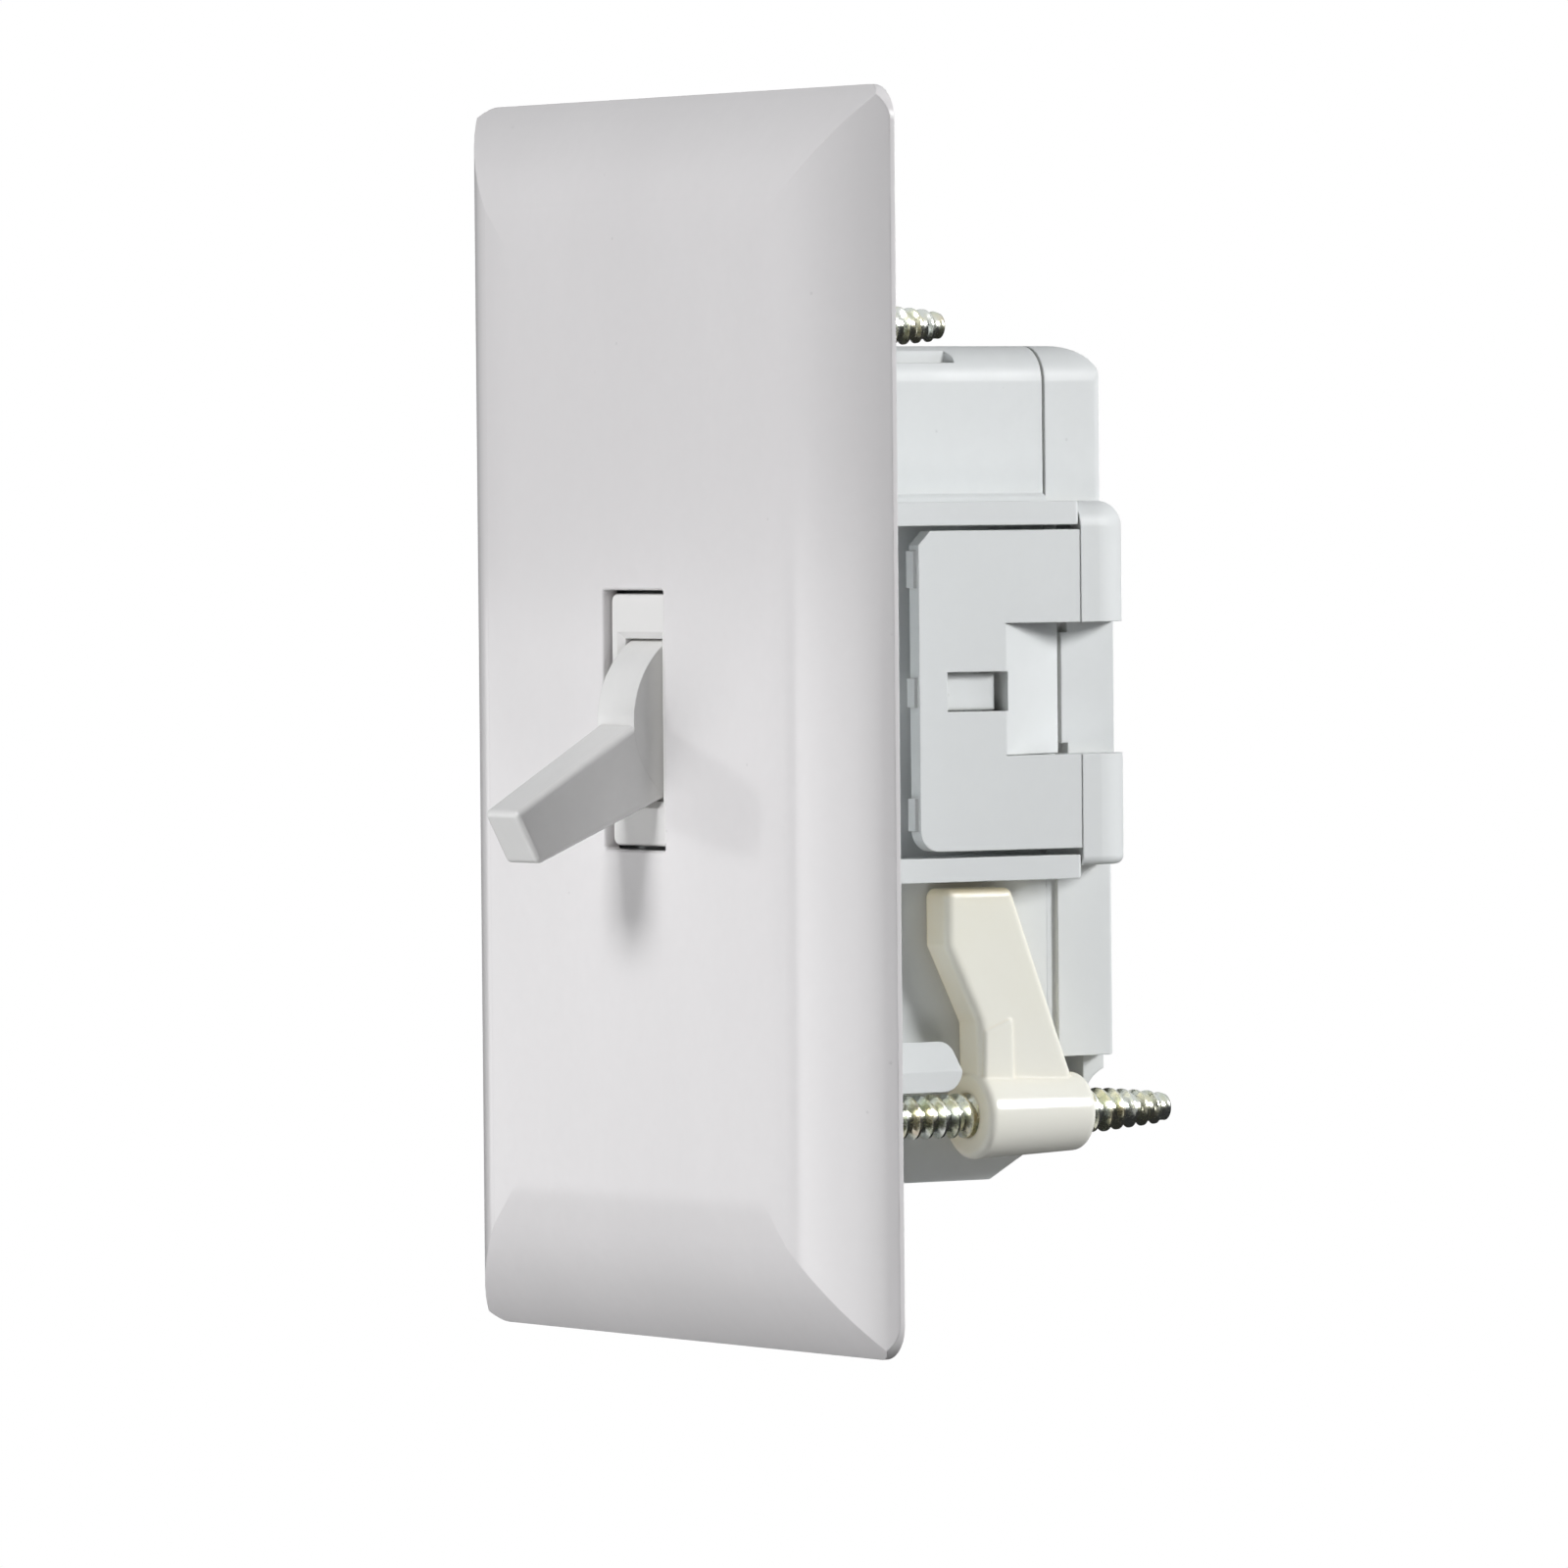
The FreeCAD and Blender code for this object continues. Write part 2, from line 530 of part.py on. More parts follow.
def spring_plunger():
    """The round-nosed plunger that the spring presses on the rocker."""
    start = PIVOT_Y + 5.3
    stem = rod_y(1.6, (start, PIVOT_Y + PLUNGER_TIP - 1.0))
    nose = Part.makeSphere(1.6, Vector(0, PIVOT_Y + PLUNGER_TIP - 1.6, 0))
    nose = nose.common(rod_y(2.0, (start, PIVOT_Y + PLUNGER_TIP + 1)))
    return tilted(fuse([stem, nose]), REST_ANGLE)


def contact_rocker():
    """The insulating saddle that the plunger tips."""
    saddle = box((-ROCKER_HALF_W, ROCKER_HALF_W), (9.55, 11.4), (-6.0, 6.0))
    saddle = rounded(saddle, 0.5, lambda p: near(abs(p.z), 6.0))
    hub = rod_x(1.95, (-ROCKER_HALF_W, ROCKER_HALF_W), ROCKER_Y, 0)
    neck = box((-ROCKER_HALF_W, ROCKER_HALF_W), (10.5, ROCKER_Y), (-1.95, 1.95))
    rocker = fuse([saddle, hub, neck]).cut(rod_x(PIN_R + RUNNING_GAP, (-4, 4), ROCKER_Y, 0))
    return tilted(rocker, -ROCKER_REST_TILT, ROCKER_Y)


def moving_contact():
    """The blade that hangs from the rocker and carries the moving button."""
    blade = box((-1.5, 1.5), (11.4, 12.2), (CONTACT_Z - 1.9, -2.6))
    bore = rod_y(0.7, (11, 13), 0, CONTACT_Z)
    return tilted(blade.cut(bore), -ROCKER_REST_TILT, ROCKER_Y)


def moving_contact_button():
    """The silver button riveted into the blade."""
    head = rod_y(1.6, (12.2, 13.4), 0, CONTACT_Z)
    shank = rod_y(0.7, (11.1, 12.2), 0, CONTACT_Z)
    return tilted(fuse([head, shank]), -ROCKER_REST_TILT, ROCKER_Y)


def pin(y):
    """A steel pin across the cheeks."""
    half = SLOT_HALF_W + 1.45
    rod = rod_x(PIN_R, (-half, half), y, 0)
    return rod.makeChamfer(0.2, circles(rod))


# ---------------------------------------------------------------- terminals

def wire_fork(x, z):
    """An upright brass fork whose slot, open to the back, bites one wire."""
    blade = box((x - 2.5, x + 2.5), (17.4, 31.2), (z, z + 0.8))
    slot = box((x - 0.55, x + 0.55), (25.5, 32), (z - 1, z + 2))
    lead_in = prism_z([(x - 1.5, 31.3), (x - 0.55, 29.6), (x + 0.55, 29.6), (x + 1.5, 31.3)], (z - 1, z + 2))
    return blade.cut(slot).cut(lead_in)


def terminals():
    """The line, load and ground terminals, each a base strip with its fork."""
    line = fuse([wire_fork(8.0, 11.7), box((-2.0, 10.5), (16.6, 17.4), (8.5, 12.5)),
                 box((-1.5, 1.5), (16.6, 17.4), (0.5, 9.0)), box((-1.5, 1.5), (14.9, 17.4), (-0.3, 0.5))])
    load = fuse([wire_fork(-8.0, -12.5), box((-10.5, 2.0), (16.6, 17.4), (-12.5, -8.5))])
    ground = fuse([wire_fork(0.0, -22.0), box((-4.0, 4.0), (16.6, 17.4), (-22.0, -18.0))])
    return {"line_terminal": line, "load_terminal": load, "ground_terminal": ground}


def fixed_contact_button():
    """The silver button on the load terminal."""
    return rod_y(1.6, (15.95, 16.6), 0, CONTACT_Z + 0.4)


def terminal_carrier():
    """The insulating insert that backs the terminals, with ridges between the wires."""
    plate = box((-13.9, 13.9), (17.4, 19.4), (-23.5, 28.0))
    ridges = [box((x - 0.7, x + 0.7), (19.3, 27.0), (-16.0, 20.0)) for x in (-3.9, 3.9)]
    carrier = fuse([plate] + ridges)
    for x, z in ((8.0, 11.7), (-8.0, -12.5), (0.0, -22.0)):
        carrier = carrier.cut(box((x - 2.6, x + 2.6), (17, 28), (z - 0.1, z + 0.9)))
    return carrier


def cable_grip():
    """The toothed strip let into the tray's back wall, which holds the cable's sheath."""
    base = box((-5.9, 5.9), (TRAY_BACK_Y - 0.8, TRAY_BACK_Y - 0.4), (-38.4, -33.6))
    root, crest = TRAY_BACK_Y - 0.5, TRAY_BACK_Y - 0.02
    teeth = [prism_x([(root, z - 0.4), (root, z + 0.8), (crest, z + 0.6)], (-5.9, 5.9))
             for z in (-37.9, -36.4, -34.9)]
    return fuse([base] + teeth)


# ---------------------------------------------------------------- screws and clamps

def thread_ridges(first, last):
    """Ring ridges that stand for the thread between two places along the screw."""
    rings = []
    for turn in range(int((last - first) / SCREW_PITCH)):
        y = first + turn * SCREW_PITCH
        shrink = max(0.0, (y - SCREW_TAPER_Y) / (SCREW_TIP_Y - SCREW_TAPER_Y)) * 0.75
        crest = SCREW_R - shrink
        root = SCREW_CORE_R - shrink * 0.5
        low = Part.makeCone(root, crest, 0.45, Vector(0, y, 0), Y_AXIS)
        high = Part.makeCone(crest, root, 0.45, Vector(0, y + 0.45, 0), Y_AXIS)
        rings += [low, high]
    return rings


def mounting_screw():
    """The lower screw: cross-slotted pan head, threaded shank, tapered end and blunt tip."""
    head = rod_y(HEAD_R, (-4.1, FLANGE_FRONT_Y - 0.05))
    head = head.makeFillet(0.9, [e for e in circles(head) if near(e.Curve.Center.y, -4.1)])
    core = rod_y(SCREW_CORE_R, (-3, SCREW_TAPER_Y))
    length = SCREW_TIP_Y - SCREW_TAPER_Y
    taper = Part.makeCone(SCREW_CORE_R, 1.2, length, Vector(0, SCREW_TAPER_Y, 0), Y_AXIS)
    screw = fuse([head, core, taper] + thread_ridges(0.6, SCREW_TIP_Y - 1.8))
    for angle in (0, 90):
        slot = box((-2.1, 2.1), (-4.3, -3.0), (-0.35, 0.35))
        slot.rotate(CENTRE, Y_AXIS, angle + 45)
        screw = screw.cut(slot)
    screw.translate(Vector(SCREW_X, 0, SCREW_Z))
    return screw


def retaining_washer():
    """The fibre washer behind the flange that keeps the lower screw from falling out."""
    return annulus(3.6, SCREW_R + RUNNING_GAP, (0.02, 0.52), SCREW_X, SCREW_Z)


def wall_clamp():
    """The lower clamp, stowed: a drafted barrel on the screw and an arm that points up."""
    front, back = CLAMP_BARREL_Y
    start = Vector(SCREW_X, front, SCREW_Z)
    barrel = Part.makeCone(CLAMP_FRONT_R, CLAMP_BACK_R, back - front, start, Y_AXIS)
    barrel = barrel.makeFillet(0.7, circles(barrel))
    x = (SCREW_X - CLAMP_ARM_HALF_W, SCREW_X + CLAMP_ARM_HALF_W)
    outline = [(front + 0.3, SCREW_Z), (18.3, -28.0), (14.8, -20.8), (14.8, -15.6), (22.0, -15.6),
               (28.5, -32.7), (28.9, SCREW_Z)]
    arm = prism_x(outline, x)
    arm = arm.makeFillet(0.8, arm.Edges)
    boss = prism_x([(front + 0.4, SCREW_Z), (18.7, -28.6), (21.9, -27.4), (22.1, SCREW_Z)],
                   (SCREW_X, x[1] + 0.2))
    boss = boss.makeFillet(0.35, boss.Edges)
    clamp = fuse([barrel, arm, boss])
    return clamp.cut(rod_y(SCREW_R + RUNNING_GAP, (front - 1, back + 1), SCREW_X, SCREW_Z))


def build():
    """Every node's solid, by name."""
    nodes = {
        "cover_plate": cover_plate(),
        "front_housing": front_housing(),
        "rear_cover": rear_cover(),
        "toggle_lever": toggle_lever(),
        "toggle_pivot_pin": pin(PIVOT_Y),
        "toggle_spring": toggle_spring(),
        "spring_plunger": spring_plunger(),
        "contact_rocker": contact_rocker(),
        "rocker_pivot_pin": pin(ROCKER_Y),
        "moving_contact": moving_contact(),
        "moving_contact_button": moving_contact_button(),
        "fixed_contact_button": fixed_contact_button(),
        "terminal_carrier": terminal_carrier(),
        "cable_grip": cable_grip(),
    }
    nodes.update(terminals())
    for name, shape in (("mounting_screw", mounting_screw()), ("retaining_washer", retaining_washer()),
                        ("wall_clamp", wall_clamp())):
        nodes["lower_" + name] = shape
        nodes["upper_" + name] = half_turn(shape)
    return nodes


os.makedirs("parts", exist_ok=True)
for node_name, node_shape in build().items():
    solids = node_shape.Solids
    print(node_name, "solids", len(solids), "valid", node_shape.isValid(), "volume",
          round(node_shape.Volume, 1))
    solids[0].exportStep(os.path.join("parts", node_name + ".step"))
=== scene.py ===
"""Toggle wall switch: finishes, threaded screws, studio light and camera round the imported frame."""
import json
import math

import bmesh
import bpy
from mathutils import Matrix, Vector


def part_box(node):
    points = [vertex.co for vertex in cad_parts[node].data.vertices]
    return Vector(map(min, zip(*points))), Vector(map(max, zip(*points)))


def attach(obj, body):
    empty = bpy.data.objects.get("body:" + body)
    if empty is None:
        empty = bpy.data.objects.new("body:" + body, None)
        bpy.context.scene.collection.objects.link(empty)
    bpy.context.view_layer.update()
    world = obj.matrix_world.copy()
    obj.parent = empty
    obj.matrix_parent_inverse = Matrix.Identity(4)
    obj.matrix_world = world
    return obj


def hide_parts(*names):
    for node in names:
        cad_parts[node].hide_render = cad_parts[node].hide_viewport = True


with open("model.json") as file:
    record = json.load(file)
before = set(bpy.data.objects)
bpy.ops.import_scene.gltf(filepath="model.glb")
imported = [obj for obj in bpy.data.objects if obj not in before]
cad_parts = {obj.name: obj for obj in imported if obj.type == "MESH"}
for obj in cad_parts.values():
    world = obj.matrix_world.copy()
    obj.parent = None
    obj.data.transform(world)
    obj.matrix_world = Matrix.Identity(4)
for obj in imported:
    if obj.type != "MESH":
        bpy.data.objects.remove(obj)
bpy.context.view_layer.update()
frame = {"nodes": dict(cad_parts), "record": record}
MM = 0.001


# ---------------------------------------------------------------- camera

CAMERA_AZIMUTH = math.radians(57.005)
CAMERA_ELEVATION = math.radians(1.407)
CAMERA_ROLL = math.radians(-0.527)
CAMERA_DISTANCE = 1.0767
CAMERA_LENS = 269.1
SENSOR_WIDTH = 36.0
CLIP_RANGE = (0.05, 20.0)
# The point in the middle of the picture, from the centre of the plate on the wall plane.
CAMERA_TARGET = Vector((4.83, 7.16, -6.06)) * MM


def towards(azimuth, elevation):
    """The unit vector from the object at an azimuth (0 is straight in front) and an elevation."""
    flat = math.cos(elevation)
    return Vector((math.sin(azimuth) * flat, -math.cos(azimuth) * flat, math.sin(elevation)))


def look_along(back, roll=0.0):
    """The rotation of a camera or light whose back points along the vector back."""
    right = Vector((0, 0, 1)).cross(back).normalized()
    up = back.cross(right)
    matrix = Matrix((right, up, back)).transposed().to_4x4()
    return matrix @ Matrix.Rotation(roll, 4, "Z")


def add_camera():
    """The camera at the photograph's viewing angle."""
    data = bpy.data.cameras.new("camera")
    data.lens = CAMERA_LENS
    data.sensor_width = SENSOR_WIDTH
    data.clip_start, data.clip_end = CLIP_RANGE
    camera = bpy.data.objects.new("camera", data)
    back = towards(CAMERA_AZIMUTH, CAMERA_ELEVATION)
    place = Matrix.Translation(CAMERA_TARGET + back * CAMERA_DISTANCE)
    camera.matrix_world = place @ look_along(back, CAMERA_ROLL)
    bpy.context.scene.collection.objects.link(camera)
    bpy.context.scene.camera = camera


# ---------------------------------------------------------------- light and floor

# The mirrored sky brightens from the first height to the second, as the Z of a unit vector.
SKY_LOW = -0.1
SKY_HIGH = 0.65
SKY_DIMMEST = 0.03
SKY_BRIGHTEST = 0.75
FLOOR_HALF = 6.0
FLOOR_DROP = -0.30


def set_range(node, low, high, to_low, to_high):
    """Set the two ranges of a Map Range node."""
    for key, number in (("From Min", low), ("From Max", high),
                        ("To Min", to_low), ("To Max", to_high)):
        node.inputs[key].default_value = number


def add_light(name, azimuth, elevation, distance, size, power):
    """A soft rectangular light that points at the object."""
    data = bpy.data.lights.new(name, "AREA")
    data.shape = "RECTANGLE"
    data.size = size[0]
    data.size_y = size[1]
    data.energy = power
    light = bpy.data.objects.new(name, data)
    back = towards(math.radians(azimuth), math.radians(elevation))
    light.matrix_world = Matrix.Translation(back * distance) @ look_along(back)
    light.visible_camera = False
    bpy.context.scene.collection.objects.link(light)
    return light


def add_world():
    """White behind the object, a pale sky for reflections, and a faint even fill for its light."""
    world = bpy.data.worlds.new("studio")
    world.use_nodes = True
    nodes = world.node_tree.nodes
    links = world.node_tree.links
    nodes.clear()
    rays = nodes.new("ShaderNodeLightPath")
    way = nodes.new("ShaderNodeSeparateXYZ")
    links.new(nodes.new("ShaderNodeTexCoord").outputs["Generated"], way.inputs["Vector"])
    sky = nodes.new("ShaderNodeMapRange")
    set_range(sky, SKY_LOW, SKY_HIGH, SKY_DIMMEST, SKY_BRIGHTEST)
    links.new(way.outputs["Z"], sky.inputs["Value"])
    kinds = (
        ("fill", (0.95, 0.98, 1.0, 1), 0.04),
        ("mirror", (0.97, 0.98, 1.0, 1), 1.0),
        ("white", (1, 1, 1, 1), 1.0),
    )
    backgrounds = {}
    for name, color, strength in kinds:
        background = nodes.new("ShaderNodeBackground")
        background.inputs["Color"].default_value = color
        background.inputs["Strength"].default_value = strength
        backgrounds[name] = background
    links.new(sky.outputs["Result"], backgrounds["mirror"].inputs["Strength"])
    shiny = nodes.new("ShaderNodeMixShader")
    seen = nodes.new("ShaderNodeMixShader")
    links.new(rays.outputs["Is Glossy Ray"], shiny.inputs["Fac"])
    links.new(backgrounds["fill"].outputs["Background"], shiny.inputs[1])
    links.new(backgrounds["mirror"].outputs["Background"], shiny.inputs[2])
    links.new(rays.outputs["Is Camera Ray"], seen.inputs["Fac"])
    links.new(shiny.outputs["Shader"], seen.inputs[1])
    links.new(backgrounds["white"].outputs["Background"], seen.inputs[2])
    links.new(seen.outputs["Shader"], nodes.new("ShaderNodeOutputWorld").inputs["Surface"])
    bpy.context.scene.world = world


def add_floor():
    """A plain pale floor well below the switch, which hangs in the air as on a wall."""
    mesh = bpy.data.meshes.new("floor")
    signs = ((-1, -1), (1, -1), (1, 1), (-1, 1))
    corners = [(x * FLOOR_HALF, y * FLOOR_HALF, FLOOR_DROP) for x, y in signs]
    mesh.from_pydata(corners, [], [(0, 1, 2, 3)])
    floor = bpy.data.objects.new("floor", mesh)
    bpy.context.scene.collection.objects.link(floor)
    mat = bpy.data.materials.new("floor_white")
    mat.use_nodes = True
    bsdf = mat.node_tree.nodes["Principled BSDF"]
    bsdf.inputs["Base Color"].default_value = (0, 0, 0, 1)
    bsdf.inputs["Roughness"].default_value = 1.0
    bsdf.inputs["Specular IOR Level"].default_value = 0.0
    bsdf.inputs["Emission Color"].default_value = (1, 1, 1, 1)
    bsdf.inputs["Emission Strength"].default_value = 1.0
    mesh.materials.append(mat)
    floor.visible_diffuse = False
    floor.visible_glossy = False


def add_lights():
    """The studio, as azimuth, elevation, distance (m), size (m) and power (W) of each soft light.

    The key comes from the rear right and front_high lights the plate; rear, low_right and under
    fill the shade. The rear and under lights aren't mirrored. The two panels light nothing: they
    are only what the glossy plate mirrors.
    """
    studio = {
        "key": (134, 19, 0.9, (0.22, 0.22), 6.4),
        "rear": (165, 10, 0.8, (0.4, 0.4), 1.4),
        "front_high": (3, 32, 0.8, (0.30, 0.26), 4.1),
        "low_right": (66, -22, 0.35, (0.1, 0.1), 0.14),
        "under": (-25, -36, 0.42, (0.25, 0.15), 0.72),
        "left_panel": (-57, -6, 0.28, (0.3, 0.075), 0.09),
        "front_panel": (3, -10, 0.28, (0.27, 0.12), 0.36),
    }
    for name, (azimuth, elevation, distance, size, power) in studio.items():
        light = add_light(name, azimuth, elevation, distance, size, power)
        light.visible_glossy = name not in ("under", "rear")
        light.visible_diffuse = not name.endswith("_panel")


# ---------------------------------------------------------------- material nodes

# The Mix node's sockets for colours, by number because its socket names repeat.
MIX_FACTOR, MIX_FIRST, MIX_SECOND = 0, 6, 7
MIX_RESULT = 2
BEVEL_SAMPLES = 4
CREVICE_SAMPLES = 6


def tint(color, factor):
    """A colour made lighter or deeper by a factor, no brighter than white."""
    return tuple(min(1.0, c * factor) for c in color)


class Finish:
    """A material under construction, with short calls for the nodes that it uses."""

    def __init__(self, name):
        self.mat = bpy.data.materials.new(name)
        self.mat.use_nodes = True
        self.nodes = self.mat.node_tree.nodes
        self.links = self.mat.node_tree.links
        self.bsdf = self.nodes["Principled BSDF"]
        self.place = self.nodes.new("ShaderNodeTexCoord").outputs["Object"]

    def set(self, **values):
        """Set constants on the shader; Base_Color stands for Base Color."""
        for key, value in values.items():
            self.bsdf.inputs[key.replace("_", " ")].default_value = value

    def feed(self, socket, output):
        """Link an output to one of the shader's sockets."""
        self.links.new(output, self.bsdf.inputs[socket])

    def noise(self, size_mm, detail=3.0, roughness=0.5, stretch=None):
        """A noise whose blobs are about size_mm across; stretch scales the axes."""
        node = self.nodes.new("ShaderNodeTexNoise")
        node.inputs["Scale"].default_value = 1.0 / (size_mm * MM)
        node.inputs["Detail"].default_value = detail
        node.inputs["Roughness"].default_value = roughness
        vector = self.place
        if stretch is not None:
            mapping = self.nodes.new("ShaderNodeMapping")
            mapping.inputs["Scale"].default_value = stretch
            self.links.new(vector, mapping.inputs["Vector"])
            vector = mapping.outputs["Vector"]
        self.links.new(vector, node.inputs["Vector"])
        return node.outputs["Fac"]

    def along(self, axis):
        """The point's place along X, Y or Z, in metres."""
        node = self.nodes.new("ShaderNodeSeparateXYZ")
        self.links.new(self.place, node.inputs["Vector"])
        return node.outputs[axis]

    def cells(self, size_mm):
        """Distances to scattered points about size_mm apart."""
        node = self.nodes.new("ShaderNodeTexVoronoi")
        node.inputs["Scale"].default_value = 1.0 / (size_mm * MM)
        self.links.new(self.place, node.inputs["Vector"])
        return node.outputs["Distance"]

    def spread(self, value, low, high, to_low=0.0, to_high=1.0):
        """Map a value from one range to another, clamped."""
        node = self.nodes.new("ShaderNodeMapRange")
        self.links.new(value, node.inputs["Value"])
        set_range(node, low, high, to_low, to_high)
        return node.outputs["Result"]

    def blend(self, amount, first, second):
        """Mix two colours by an amount; each of the three may be an output instead."""
        node = self.nodes.new("ShaderNodeMix")
        node.data_type = "RGBA"
        for socket, value in ((MIX_FACTOR, amount), (MIX_FIRST, first), (MIX_SECOND, second)):
            if isinstance(value, bpy.types.NodeSocket):
                self.links.new(value, node.inputs[socket])
            elif isinstance(value, (int, float)):
                node.inputs[socket].default_value = value
            else:
                node.inputs[socket].default_value = (*value, 1)
        return node.outputs[MIX_RESULT]

    def math(self, kind, first, second=0.0):
        """Arithmetic on an output and a second value, which is a number or an output."""
        node = self.nodes.new("ShaderNodeMath")
        node.operation = kind
        self.links.new(first, node.inputs[0])
        if isinstance(second, (int, float)):
            node.inputs[1].default_value = second
        else:
            self.links.new(second, node.inputs[1])
        return node.outputs[0]

    def bump(self, height, depth_mm, strength=1.0, normal=None):
        """Relief from a height field, depth_mm deep at full strength."""
        node = self.nodes.new("ShaderNodeBump")
        node.inputs["Strength"].default_value = strength
        node.inputs["Distance"].default_value = depth_mm * MM
        self.links.new(height, node.inputs["Height"])
        if normal is not None:
            self.links.new(normal, node.inputs["Normal"])
        return node.outputs["Normal"]

    def soft_edges(self, radius_mm):
        """The surface normal, rounded over edges by radius_mm."""
        node = self.nodes.new("ShaderNodeBevel")
        node.samples = BEVEL_SAMPLES
        node.inputs["Radius"].default_value = radius_mm * MM
        return node.outputs["Normal"]

    def edge_mask(self, radius_mm):
        """One along edges and zero on faces, from how far a rounded normal leans."""
        lean = self.nodes.new("ShaderNodeVectorMath")
        lean.operation = "DOT_PRODUCT"
        self.links.new(self.soft_edges(radius_mm), lean.inputs[0])
        self.links.new(self.nodes.new("ShaderNodeNewGeometry").outputs["Normal"], lean.inputs[1])
        return self.spread(lean.outputs["Value"], 0.99, 0.80)

    def crevice(self, reach_mm):
        """Zero deep in corners and one in the open."""
        node = self.nodes.new("ShaderNodeAmbientOcclusion")
        node.samples = CREVICE_SAMPLES
        node.inputs["Distance"].default_value = reach_mm * MM
        return node.outputs["AO"]


# What the painted shade in a corner leaves of a colour's red, green and blue: a warm shade.
CORNER_SHADE_TINT = (0.72, 0.69, 0.64)
PLASTIC_EDGE_MM = 0.18
PLASTIC_IOR = 1.49
# The depths between which the housing's colour turns into its face colour.
FACE_FRONT_Y = -3.0 * MM
FACE_BACK_Y = -2.2 * MM


def moulded_plastic(name, color, gloss, ripple_mm, corner_shade, face=None):
    """Moulded plastic: faint flow marks, fine specks, handled edges and painted shade in its corners.

    With a face colour, what stands in front of the flange takes that colour.
    """
    finish = Finish(name)
    flow = finish.noise(34.0, 3.0, 0.55, (1.0, 1.0, 0.45))
    base = finish.blend(finish.spread(flow, 0.3, 0.7), tint(color, 0.965), tint(color, 1.025))
    fine = finish.spread(finish.noise(1.6, 4.0, 0.6), 0.35, 0.75, 0.0, 0.25)
    base = finish.blend(fine, base, tint(color, 0.94))
    specks = finish.spread(finish.cells(5.5), 0.035, 0.02)
    base = finish.blend(finish.math("MULTIPLY", specks, 0.35), base, tint(color, 0.72))
    # Painted shade: an ambient-occlusion mask darkens corners and recesses toward a warm shade.
    corner = finish.spread(finish.crevice(2.5), 0.25, 0.85, corner_shade, 0.0)
    base = finish.blend(corner, base, tuple(c * left for c, left in zip(color, CORNER_SHADE_TINT)))
    handled = finish.spread(finish.noise(3.0), 0.45, 0.65, 0.0, 0.5)
    worn = finish.math("MULTIPLY", finish.edge_mask(PLASTIC_EDGE_MM * 2), handled)
    base = finish.blend(worn, base, tint(color, 1.06))
    if face is not None:
        in_front = finish.spread(finish.along("Y"), FACE_FRONT_Y, FACE_BACK_Y, 1.0, 0.0)
        base = finish.blend(in_front, base, face)
    finish.feed("Base Color", base)
    smear = finish.noise(11.0, 4.0, 0.6, (1.0, 1.0, 0.5))
    rough = finish.spread(smear, 0.3, 0.7, gloss * 0.88, gloss * 1.18)
    rough = finish.math("ADD", rough, finish.math("MULTIPLY", worn, 0.25))
    finish.feed("Roughness", rough)
    waves = finish.math("MULTIPLY", finish.noise(9.0, 2.0), 1.5)
    peel = finish.math("ADD", finish.noise(2.2, 2.0), waves)
    finish.feed("Normal", finish.bump(peel, ripple_mm, 0.6, finish.soft_edges(PLASTIC_EDGE_MM)))
    finish.set(IOR=PLASTIC_IOR)
    return finish


# The cover plate, its bevel's width, and how far and how steeply its crease is softened.
PLATE_W = 69.85
PLATE_H = 114.3
BEVEL_INSET = 9.75
CREASE_REACH = 4.5 * MM
CREASE_LEAN = 0.13
# A bump this deep takes a height field in metres at its own size.
METRE_IN_MM = 1000.0


def soften_crease(finish):
    """Blend the plate's flat front into its bevel, by relief that leans both ways at the crease."""
    beyond = []
    for axis, size in (("X", PLATE_W), ("Z", PLATE_H)):
        to_crease = (size / 2 - BEVEL_INSET) * MM
        off_centre = finish.math("ABSOLUTE", finish.along(axis))
        beyond.append(finish.math("SUBTRACT", off_centre, to_crease))
    away = finish.math("ABSOLUTE", finish.math("MAXIMUM", *beyond))
    closeness = finish.spread(away, 0.0, CREASE_REACH, 1.0, 0.0)
    deepest = -CREASE_LEAN * CREASE_REACH / 2
    dip = finish.math("MULTIPLY", finish.math("POWER", closeness, 2.0), deepest)
    before = finish.bsdf.inputs["Normal"].links[0].from_socket
    finish.feed("Normal", finish.bump(dip, METRE_IN_MM, 1.0, before))
    return finish


NYLON_EDGE_MM = 0.5


def nylon(name):
    """Unpigmented nylon: milky, amber painted as shade where little light gets in, with a faint
    painted glow from emission for light let through.
    """
    finish = Finish(name)
    cloud = finish.noise(16.0, 1.0, 0.4)
    cloudy = finish.spread(cloud, 0.25, 0.75)
    base = finish.blend(cloudy, (0.88, 0.87, 0.76), (0.89, 0.885, 0.82))
    # Painted shade: amber where an ambient-occlusion mask finds the nylon enclosed.
    amber_shade = finish.spread(finish.crevice(9.0), 0.35, 0.9, 0.75, 0.0)
    base = finish.blend(amber_shade, base, (0.92, 0.80, 0.54))
    mist = finish.noise(2.5, 2.0)
    base = finish.blend(finish.spread(mist, 0.3, 0.7, 0.0, 0.2), base, (0.91, 0.91, 0.84))
    edges = finish.edge_mask(NYLON_EDGE_MM)
    base = finish.blend(finish.math("MULTIPLY", edges, 0.3), base, (0.93, 0.92, 0.86))
    finish.feed("Base Color", base)
    finish.feed("Roughness", finish.spread(finish.noise(2.5, 4.0), 0.3, 0.7, 0.12, 0.18))
    drag = finish.noise(1.1, 3.0, 0.6, (0.3, 1.0, 0.3))
    finish.feed("Normal", finish.bump(drag, 0.006, 0.5, finish.soft_edges(NYLON_EDGE_MM)))
    # Painted light: the nylon's colour glows faintly by emission, standing in for light let through.
    finish.feed("Emission Color", base)
    finish.set(IOR=1.40, Emission_Strength=0.08)
    return finish


